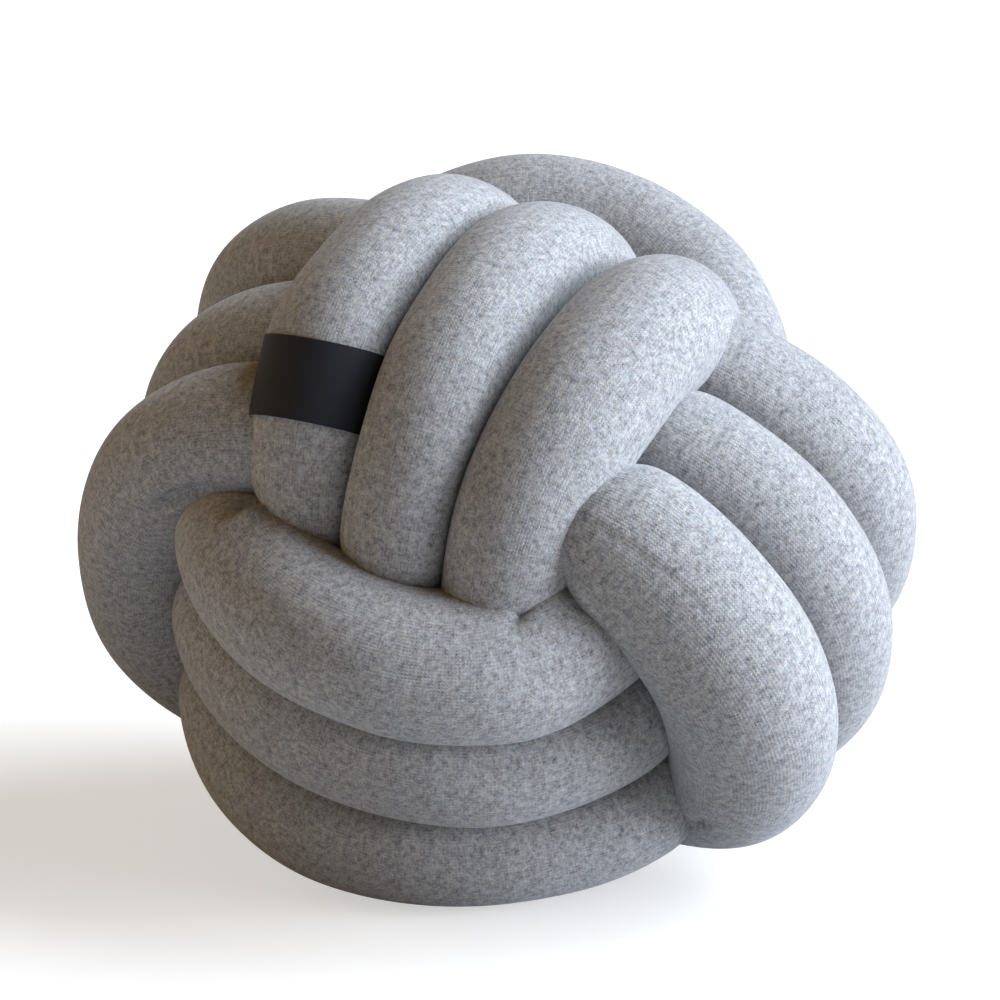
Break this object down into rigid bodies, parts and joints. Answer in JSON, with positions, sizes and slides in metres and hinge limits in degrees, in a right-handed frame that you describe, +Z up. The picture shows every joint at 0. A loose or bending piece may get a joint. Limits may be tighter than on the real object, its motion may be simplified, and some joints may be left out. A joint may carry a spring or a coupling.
{
  "type": "knotted ball cushion",
  "caption": "Round cushion tied as a ball knot from one thick stuffed knit tube, with a plain dark label round a strand.",
  "frame": {"origin": "on the floor under the middle of the ball's box", "axes": "+Z up; -Y is the front, which shows the label at its upper left; +X is the right side"},
  "size_m": [0.3198, 0.2948, 0.2634],
  "materials": {
    "jersey": "soft heather grey knit",
    "label_tape": "matte black woven tape"
  },
  "bodies": {
    "root": {"knot_body": "jersey", "label_band": "label_tape"}
  },
  "joints": []
}
